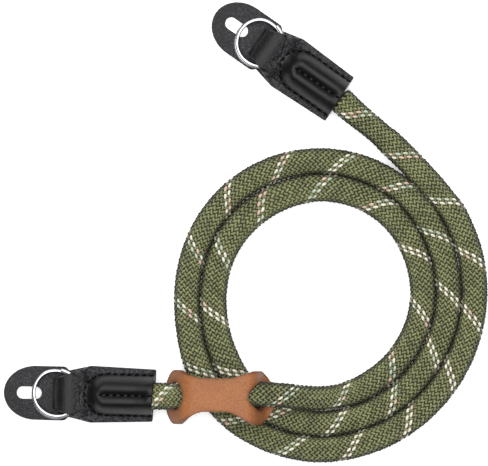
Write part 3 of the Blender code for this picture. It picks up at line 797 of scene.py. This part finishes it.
def coverRows():
    e, c = strapEnd, cover
    rows = []
    start, steps = 34.2, 70
    for k in range(steps + 1):
        rows.append(coverRow(e["length"] - (e["length"] - start) * k / steps))
    looseness = [[1 - 0.92 * smoothStep(0.4, 2.5, p.z - levelAt(p.x, p.y)) for p in row]
                 for row in rows]
    spread = [p.y / rows[-1][0].y for p in rows[-1]]
    columns = len(spread)

    def neckRow(x, z, even):
        # columns ease from the sleeve's own spacing to an even one along the neck
        w = edgeAt(max(x, c["foldAt"]))
        across = [w * (s + (1 - 2 * j / (columns - 1) - s) * even) for j, s in enumerate(spread)]
        rows.append([Vector((x, y, levelAt(x, y) if z is None else z)) for y in across])
        looseness.append([0.25 + 0.75 * smoothStep(*c["neckGrain"], x)] * columns)

    for k in range(1, 25):
        neckRow(start + (c["humpAt"] - start) * k / 24, None, smoothStep(0, 16, k))
    level, crest = levelAt(e["length"], 0), levelAt(c["humpAt"], 0)
    front, low = c["foldAt"] + c["thickness"] / 2, c["foldLow"]
    for k in range(1, 13):
        # the upper part of the fold is a long ellipse, its lower part a tight round
        a = pi / 2 + pi / 2 * k / 12
        rise = low + (crest - level - low) * sin(a)
        neckRow(c["humpAt"] + (c["humpAt"] - front) * cos(a), level + rise, 1)
    for k in range(1, 9):
        a = pi + pi / 2 * k / 8
        neckRow(front + low * (1 + cos(a)), level + low * (1 + sin(a)), 1)
    bend = front + low
    for k in range(1, 10):
        neckRow(bend + (c["tailEnd"] - bend) * k / 9, level, 1)
    return rows, looseness


def makeCover(side):
    # front leather: sewn over the flattened rope, then folded back under itself to hold the ring
    rows, looseness = coverRows()
    n, m, t, r = len(rows), len(rows[0]), cover["thickness"], cover["edgeRound"]
    bm = bmesh.new()
    loose = bm.verts.layers.float.new("looseness")

    def corner(i, j):
        return rows[min(max(i, 0), n - 1)][min(max(j, 0), m - 1)]

    def vertexAt(point, i, j):
        v = bm.verts.new(point)
        v[loose] = looseness[i][j]
        return v

    top, under, ridge, foot = [], [], {}, {}
    for i in range(n):
        topLine, underLine = [], []
        for j in range(m):
            p = rows[i][j]
            along, across = corner(i + 1, j) - corner(i - 1, j), corner(i, j + 1) - corner(i, j - 1)
            normal = along.cross(across).normalized()
            inward = Vector()
            if i in (0, n - 1):
                inward += (corner(1, j) - p if i == 0 else corner(n - 2, j) - p).normalized()
            if j in (0, m - 1):
                inward += (corner(i, 1) - p if j == 0 else corner(i, m - 2) - p).normalized()
            rim = inward.length > 0
            shift = inward * r
            topLine.append(vertexAt(p + shift + normal * t / 2, i, j))
            underLine.append(vertexAt(p + shift - normal * t / 2, i, j))
            if rim:
                ridge[i, j] = vertexAt(p + shift * 0.15 + normal * (t / 2 - r * 0.85), i, j)
                foot[i, j] = vertexAt(p + shift * 0.15 - normal * (t / 2 - r * 0.85), i, j)
        top.append(topLine)
        under.append(underLine)
    for i in range(n - 1):
        for j in range(m - 1):
            bm.faces.new((top[i][j], top[i + 1][j], top[i + 1][j + 1], top[i][j + 1]))
            bm.faces.new((under[i][j], under[i][j + 1], under[i + 1][j + 1], under[i + 1][j]))
    rim = ([(0, j) for j in range(m)] + [(i, m - 1) for i in range(1, n)]
           + [(n - 1, j) for j in range(m - 2, -1, -1)] + [(i, 0) for i in range(n - 2, 0, -1)])
    for (i, j), (k, l) in zip(rim, rim[1:] + rim[:1]):
        bm.faces.new((top[i][j], top[k][l], ridge[k, l], ridge[i, j]))
        bm.faces.new((ridge[i, j], ridge[k, l], foot[k, l], foot[i, j]))
        bm.faces.new((foot[i, j], foot[k, l], under[k][l], under[i][j]))
    slanted(side, bm)
    return meshPiece(side + "Cover", bm, coverLeather, endPlace(side) @ Matrix.Scale(mm, 4))


def makeStitchShape(length, width):
    # one pulled stitch: a rounded dash that is thickest in the middle and sinks at both holes
    bm = bmesh.new()
    rings = []
    for share, size, lift in ((0, 0.25, -0.5), (0.12, 0.7, 0.05), (0.35, 1, 0.3), (0.65, 1, 0.3),
                              (0.88, 0.7, 0.05), (1, 0.25, -0.5)):
        rings.append([bm.verts.new((
            (share - 0.5) * length, width / 2 * size * cos(2 * pi * k / 8),
            width * lift + width / 2 * size * sin(2 * pi * k / 8))) for k in range(8)])
    closeTube(bm, rings)
    return meshPiece("stitchShape", bm, sewingThread)


def buildSeamTree():
    tree, add, given, result = newTree("seam", (
        ("Pitch", "Float"), ("Up", "Vector"), ("Slant", "Float"), ("Seed", "Int"),
        ("Stitch", "Object"), ("Material", "Material")))
    curve = add("GeometryNodeMeshToCurve", (given["Geometry"],))
    points = add("GeometryNodeCurveToPoints", {"Curve": curve, "Length": given["Pitch"]}, mode="LENGTH")
    turn = add("FunctionNodeAxesToRotation", (given["Up"], points.outputs["Tangent"]),
               primary_axis="Z", secondary_axis="X")
    lean = add("FunctionNodeRandomValue", {"Seed": given["Seed"], 2: -0.1, 3: 0.1})
    slant = add("ShaderNodeMath", (given["Slant"], lean.outputs[1]), operation="ADD")
    spin = add("ShaderNodeCombineXYZ", {"Z": slant})
    turned = add("FunctionNodeRotateRotation", {"Rotation": turn, "Rotate By": spin},
                 rotation_space="LOCAL")
    shape = add("GeometryNodeObjectInfo", {"Object": given["Stitch"]})
    stitches = add("GeometryNodeInstanceOnPoints", {
        "Points": points, "Instance": shape.outputs["Geometry"], "Rotation": turned})
    solid = add("GeometryNodeRealizeInstances", (stitches,))
    dyed = add("GeometryNodeSetMaterial", {"Geometry": solid, "Material": given["Material"]})
    feed(result, (dyed,))
    return tree


seam = {
    "pitch": 3.0, "stitchLength": 2.2, "stitchWidth": 0.66, "sink": 0.1, "from": 41.5, "to": 61.5,
    "valleyFrom": 41.0,
    # the seam's bow round the rope's end, from one side of the sleeve to the other: x, y
    "bow": ((36.2, 5.8), (34.8, 3.9), (34.0, 0.9), (34.4, -2.4), (35.9, -4.7), (37.6, -6.7)),
}


def seamLines(side, leather):
    # lines of stitching laid on the front leather: round the rope's end, and down the valley
    place = endPlace(side)
    up = place.to_3x3() @ Vector((0, 0, 1))
    surface = BVHTree.FromPolygons(
        [v.co for v in leather.data.vertices], [p.vertices[:] for p in leather.data.polygons])
    across = cover["seamAt"]
    run = (seam["to"], (seam["to"] + seam["from"]) / 2, seam["from"])
    bowed = [(x, across) for x in run] + list(seam["bow"]) + [(x, -across) for x in reversed(run)]
    middle = [(seam["valleyFrom"], 0), (52, 0), (seam["to"], 0)]
    for name, corners in (("Round", bowed), ("Valley", middle)):
        line = []
        for p in curveThrough([Vector((x, y, 0)) for x, y in corners], 0.5):
            above = place @ (Vector((p.x, p.y, 30)) * mm)
            hit = surface.ray_cast(above, -up)[0]
            line.append(hit + up * (seam["stitchWidth"] / 2 - seam["sink"]) * mm)
        yield name, line


def makeRopeEnd(side):
    # the end of the rope inside the sleeve, hammered flat before it is sewn in
    bm = bmesh.new()
    rings = []
    start, stop = strapEnd["length"] - 1.8, cover["noseStart"] + cover["noseRise"] + 1.2
    base = strapEnd["tabThickness"] + strapEnd["gap"]
    for k in range(13):
        x = start - (start - stop) * k / 12
        halfWidth, height = sectionAt(x)
        size = 0.93 if k < 12 else 0.7
        rings.append([bm.verts.new((
            x, halfWidth * size * cos(2 * pi * i / 32),
            base + height * 0.44 * (1 + 0.9 * size * sin(2 * pi * i / 32)))) for i in range(32)])
    closeTube(bm, rings)
    # drawn in the near-black core material: painted shade inside the sleeve's mouth
    return meshPiece(side + "RopeEnd", bm, coreYarn, endPlace(side) @ Matrix.Scale(mm, 4))


ring = {
    "diameter": 20.7, "wireWidth": 1.4, "wireHeight": 0.85, "turnGap": 0.08, "turnShift": 0.5,
    "centreAt": 22.2, "points": 24, "segments": 528, "endTaper": 0.82,
    # degrees: where the wire starts, how far it winds, where it steps up a turn, and the start's
    # heading; and the share of the folded tail that the ring leans on
    "start": 30, "wound": 660, "step": (335, 385), "heading": 110, "leanShare": 0.43,
}


def makeRing(side):
    # split ring: two turns of rounded flat wire, one above the other, with a short step between
    mean = (ring["diameter"] - ring["wireWidth"]) / 2
    w, h, n = ring["wireWidth"] / 2, ring["wireHeight"] / 2, ring["points"]
    section = [(w * cos(2 * pi * k / n), h * sin(2 * pi * k / n)) for k in range(n)]
    bm = bmesh.new()
    rings, count = [], ring["segments"]
    for k in range(count + 1):
        turned = ring["start"] + ring["wound"] * k / count
        share = smoothStep(*ring["step"], turned)
        z, shift = h + (ring["wireHeight"] + ring["turnGap"]) * share, ring["turnShift"] * (share - 0.5)
        a = radians(turned + ring["heading"])
        slim = ring["endTaper"] if k in (0, count) else 1
        rings.append([bm.verts.new((
            shift + (mean + dr * slim) * cos(a), shift + (mean + dr * slim) * sin(a), z + dz * slim))
            for dr, dz in section])
    closeTube(bm, rings)
    loopEntry = cover["foldAt"] + ring["leanShare"] * (cover["tailEnd"] - cover["foldAt"])
    tilt = atan2(cover["thickness"] + strapEnd["gap"], loopEntry - (ring["centreAt"] - ring["diameter"] / 2))
    lift = strapEnd["tabThickness"] + strapEnd["gap"] + sin(tilt) * ring["diameter"] / 2
    place = Matrix.Translation((ring["centreAt"], 0, lift)) @ Matrix.Rotation(-tilt, 4, "Y")
    return meshPiece(side + "Ring", bm, ringSteel, endPlace(side) @ Matrix.Scale(mm, 4) @ place, 50)


seamTree = buildSeamTree()
stitchShape = makeStitchShape(seam["stitchLength"] * mm, seam["stitchWidth"] * mm)
for side in ("left", "right"):
    finished(makeTab(side), "black_leather", side + "_tab_leather")
    leather = finished(makeCover(side), "black_leather", side + "_cover_leather")
    finished(makeRopeEnd(side), "rope", side + "_rope_end")
    finished(makeRing(side), "ring_steel", side + "_split_ring")
    for name, line in seamLines(side, leather):
        stitches = growOn(f"{side}Stitches{name}", line, seamTree, {
            "Pitch": seam["pitch"] * mm, "Up": tuple(endPlace(side).to_3x3() @ Vector((0, 0, 1))),
            "Slant": 0.12, "Seed": 4, "Stitch": stitchShape, "Material": sewingThread})
        finished(stitches, "black_leather")
bpy.data.objects.remove(stitchShape, do_unlink=True)
print("leather ends done")

# Keeper
keeper = {
    "thickness": 1.8, "lobeWidth": 22.4, "waistWidth": 13.9, "waistShift": 1.2, "holeLength": 15.0,
    "holeWidth": 11.3, "rim": 4.2, "holeShift": 0.6, "centre": (17.5, -76.6), "heading": -0.6,
    "span": 45.3, "height": 24.2, "rimDepth": 0.55, "waistRun": (1.3, 2.55), "holePoints": 72,
    "profile": (
        (-0.501, 0.107), (-0.459, 0.277), (-0.405, 0.550), (-0.349, 0.810), (-0.291, 0.921),
        (-0.186, 0.950), (-0.022, 0.963), (0.157, 0.988), (0.251, 1.0), (0.300, 0.917),
        (0.340, 0.727), (0.376, 0.554), (0.425, 0.479), (0.499, 0.475),
    ),
}


def keeperWidth(s, length):
    # half width and sideways shift of the blank: round lobes that ease into the waist
    r = keeper["lobeWidth"] / 2
    d = min(s, length - s)
    waist = smoothStep(*(share * r for share in keeper["waistRun"]), d)
    lobe = sqrt(max(0.0, r * r - (r - min(d, r)) ** 2))
    return lobe + (keeper["waistWidth"] / 2 - lobe) * waist, keeper["waistShift"] * waist


def rimShare(s, t, length):
    # 1 at the cut edges of the blank and of its holes, and 0 a little way in
    k = keeper
    halfWidth, shift = keeperWidth(s, length)
    depth = min(halfWidth - abs(t - shift), s, length - s)
    for start in (k["rim"], length - k["rim"] - k["holeLength"]):
        across = Vector(((s - start) / k["holeLength"] * 2 - 1, (t - k["holeShift"]) / k["holeWidth"] * 2))
        depth = min(depth, (across.length - 1) * k["holeWidth"] / 2)
    return exp(-max(0.0, depth) / k["rimDepth"])


def makeKeeper():
    k = keeper
    run = [Vector((x * k["span"], 0, z * k["height"])) for x, z in k["profile"]]
    profile = curveThrough(run, 0.4)
    along = lengthsAlong(profile)
    length = along[-1]
    # stations across the blank, closer together towards its ends
    count = 130
    stations = [length * (0.5 - 0.5 * cos(pi * (i / count) ** 0.97)) * 0.25 + length * i / count * 0.75
                for i in range(1, count)]
    stations = [0.06, 0.25, *(s for s in stations if 0.5 < s < length - 0.5), length - 0.25, length - 0.06]
    shares = [-1, -0.97, -0.92, -0.84, -0.72, -0.56, -0.38, -0.19]
    shares += [0, *(-share for share in reversed(shares))]
    bm = bmesh.new()
    layers = []
    for z in (-k["thickness"] / 2, k["thickness"] / 2):
        layer = []
        for s in stations:
            halfWidth, shift = keeperWidth(s, length)
            layer.append([bm.verts.new((s, shift + halfWidth * share, z)) for share in shares])
        layers.append(layer)
    under, top = layers
    last = len(shares) - 1
    for i in range(len(stations) - 1):
        for j in range(last):
            bm.faces.new((under[i][j], under[i][j + 1], under[i + 1][j + 1], under[i + 1][j]))
            bm.faces.new((top[i][j], top[i + 1][j], top[i + 1][j + 1], top[i][j + 1]))
        for j in (0, last):
            bm.faces.new((under[i][j], under[i + 1][j], top[i + 1][j], top[i][j]))
    for i in (0, len(stations) - 1):
        for j in range(last):
            bm.faces.new((under[i][j], under[i][j + 1], top[i][j + 1], top[i][j]))
    blank = meshPiece("keeperBlank", bm, keeperLeather)
    cutters = []
    for start in (k["rim"], length - k["rim"] - k["holeLength"]):
        hole, n = bmesh.new(), k["holePoints"]
        outline = [(start + k["holeLength"] / 2 * (1 + cos(2 * pi * i / n)),
                    k["holeShift"] + k["holeWidth"] / 2 * sin(2 * pi * i / n)) for i in range(n)]
        low = [hole.verts.new((x, y, -4)) for x, y in outline]
        high = [hole.verts.new((x, y, 4)) for x, y in outline]
        hole.faces.new(low[::-1])
        hole.faces.new(high)
        for i in range(n):
            hole.faces.new((low[i], low[(i + 1) % n], high[(i + 1) % n], high[i]))
        cutter = meshPiece("keeperCutter", hole, keeperLeather)
        cut = blank.modifiers.new("hole", "BOOLEAN")
        cut.operation = "DIFFERENCE"
        cut.object = cutter
        cutters.append(cutter)
    edges = blank.modifiers.new("edges", "BEVEL")
    edges.width = 0.3
    edges.segments = 3
    edges.limit_method = "ANGLE"
    edges.angle_limit = radians(60)
    bm = bmesh.new()
    bm.from_mesh(evaluated(blank))
    for cutter in cutters:
        bpy.data.objects.remove(cutter, do_unlink=True)
    bmesh.ops.triangulate(bm, faces=bm.faces[:])
    rim = bm.verts.layers.float.new("rim")
    for vertex in bm.verts:
        s, t, n = vertex.co
        vertex[rim] = rimShare(s, t, length)
        i = max(0, min(len(profile) - 2, sum(1 for a in along if a <= s) - 1))
        u = (s - along[i]) / (along[i + 1] - along[i])
        before, after = profile[max(i - 1, 0)], profile[min(i + 2, len(profile) - 1)]
        tangent = (profile[i + 1] - before).lerp(after - profile[i], u).normalized()
        place = profile[i].lerp(profile[i + 1], u)
        vertex.co = place + Vector((-tangent.z, 0, tangent.x)) * n + Vector((0, t, 0))
    place = Matrix.Translation((k["centre"][0] * mm, k["centre"][1] * mm, 0))
    place = place @ Matrix.Rotation(radians(k["heading"]), 4, "Z") @ Matrix.Scale(mm, 4)
    return meshPiece("keeperStrip", bm, keeperLeather, place, 40)


finished(makeKeeper(), "tan_leather", "keeper")
print("keeper done")

# Table, world and lights
bpy.ops.mesh.primitive_plane_add(size=8, location=(0, 0, 0))
table = bpy.context.object
table.name = "table"
tableWhite, _, shader = newMaterial("paperWhiteTable")
# an opal sheet lit a little from below, which keeps the shadows on it pale
feed(shader, {
    "Base Color": linearColour("#fafafa"), "Roughness": 0.9, "Specular IOR Level": 0.1,
    "Emission Color": linearColour(finish["white"]), "Emission Strength": 0.32})
table.data.materials.append(tableWhite)

# A studio with a white ceiling light: bright overhead and dark towards the walls
studio = bpy.data.worlds.new("studio")
studio.use_nodes = True
bpy.context.scene.world = studio
add = partial(addNode, studio.node_tree)
direction = add("ShaderNodeTexCoord").outputs["Generated"]
upward = add("ShaderNodeSeparateXYZ", (direction,)).outputs["Z"]
glow = add("ShaderNodeMapRange", {
    "Value": upward, "From Min": 0.72, "From Max": 0.97, "To Min": 0.06, "To Max": 4.2},
    interpolation_type="SMOOTHSTEP")
feed(studio.node_tree.nodes["Background"], {"Color": linearColour(finish["white"]), "Strength": glow})

softbox = bpy.data.lights.new("softbox", "AREA")
softbox.shape = "RECTANGLE"
softbox.size, softbox.size_y = 1.5, 1.0
softbox.energy = 10
lamp = linkObject("softbox", softbox)
lamp.location = (-0.12, 0.95, 1.05)
lamp.rotation_euler = (Vector((0.03, 0, 0)) - lamp.location).to_track_quat("-Z", "Y").to_euler()
bpy.context.scene.view_settings.view_transform = "Standard"
print("table and lights done")
